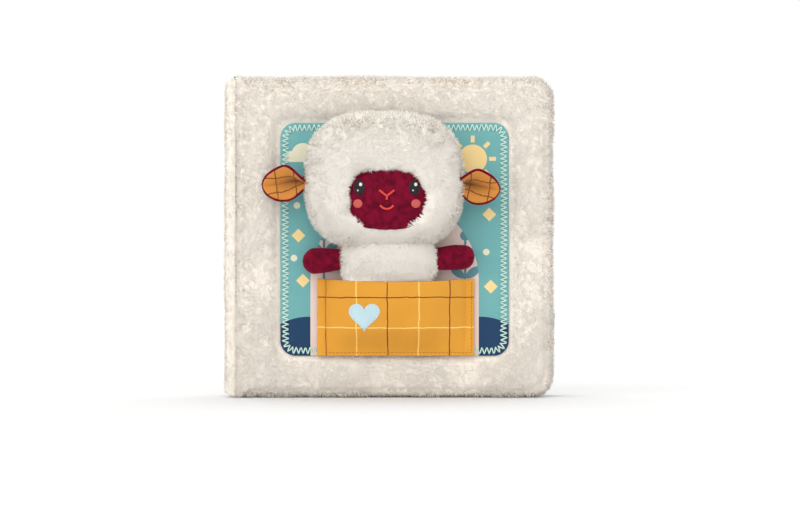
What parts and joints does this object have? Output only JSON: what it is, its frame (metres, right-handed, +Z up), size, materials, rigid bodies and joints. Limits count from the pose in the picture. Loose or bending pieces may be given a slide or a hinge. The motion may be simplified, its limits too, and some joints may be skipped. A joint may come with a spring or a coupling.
{
  "type": "padded cloth baby activity book",
  "caption": "Square padded cloth book for a baby, with fleece covers that fold open, soft pages, and a plush lamb tucked in a pocket on the front.",
  "frame": {"origin": "middle of the bottom edge of the closed book, on the face it stands on", "axes": "+X from the spine to the fore edge, +Y from the front cover to the back cover, +Z up; the book stands upright and is seen from -Y"},
  "size_m": [0.22, 0.095, 0.214],
  "materials": {
    "cover_fleece": "thick cream teddy fleece with a short curly pile",
    "wadding": "soft white polyester wadding",
    "cover_lining": "plain woven navy cotton",
    "page_cloth": "printed woven cotton over wadding",
    "panel_teal": "printed woven cotton, teal",
    "thread_mint": "mint machine embroidery thread",
    "print_pink": "flat pale pink print",
    "print_navy": "flat navy print",
    "print_yellow": "flat pale yellow print",
    "print_cream": "flat cream print",
    "print_leaf": "flat blue-green print",
    "pocket_mustard": "printed woven cotton, mustard",
    "check_plum": "fine plum line of a windowpane check",
    "check_pale": "fine pale line of a windowpane check",
    "patch_blue": "pale blue cotton patch",
    "lamb_wool": "long curly cream plush pile",
    "velvet_red": "dark red velvet with a short nap",
    "ear_mustard": "printed woven cotton, mustard with a dark check",
    "thread_black": "black satin-stitch embroidery",
    "thread_coral": "coral embroidery thread",
    "cheek_coral": "dull coral embroidered round"
  },
  "bodies": {
    "spine": {"spine_fleece": "cover_fleece", "spine_lining": "cover_lining", "page_block": "page_cloth"},
    "front_cover": {"front_cover_fleece": "cover_fleece", "front_cover_wadding": "wadding", "front_cover_lining": "cover_lining", "front_panel": "panel_teal", "panel_zigzag_stitch": "thread_mint", "panel_print_pink_arch": "print_pink", "panel_print_navy_hills": "print_navy", "panel_print_yellow_sun": "print_yellow", "panel_print_cream_cloud": "print_cream", "panel_print_sprigs": "print_leaf", "pocket": "pocket_mustard", "pocket_check_plum": "check_plum", "pocket_check_pale": "check_pale", "pocket_heart_patch": "patch_blue", "lamb_body_wool": "lamb_wool", "lamb_head_wool": "lamb_wool", "lamb_face": "velvet_red", "lamb_eye_left": "thread_black", "lamb_eye_right": "thread_black", "lamb_nose": "thread_coral", "lamb_mouth": "thread_coral", "lamb_cheeks": "cheek_coral", "lamb_arm_left": "velvet_red", "lamb_arm_right": "velvet_red", "lamb_ear_left": "velvet_red", "lamb_ear_right": "velvet_red", "lamb_ear_lining_left": "ear_mustard", "lamb_ear_lining_right": "ear_mustard"},
    "back_cover": {"back_cover_fleece": "cover_fleece", "back_cover_wadding": "wadding", "back_cover_lining": "cover_lining"}
  },
  "joints": [
    {"name": "front_cover_hinge", "type": "hinge", "parent": "spine", "child": "front_cover", "pos_m": [-0.1017, -0.0267, 0], "axis": [0, 0, -1], "range_deg": [0, 180]},
    {"name": "back_cover_hinge", "type": "hinge", "parent": "spine", "child": "back_cover", "pos_m": [-0.1017, 0.0267, 0], "axis": [0, 0, 1], "range_deg": [0, 180]}
  ]
}
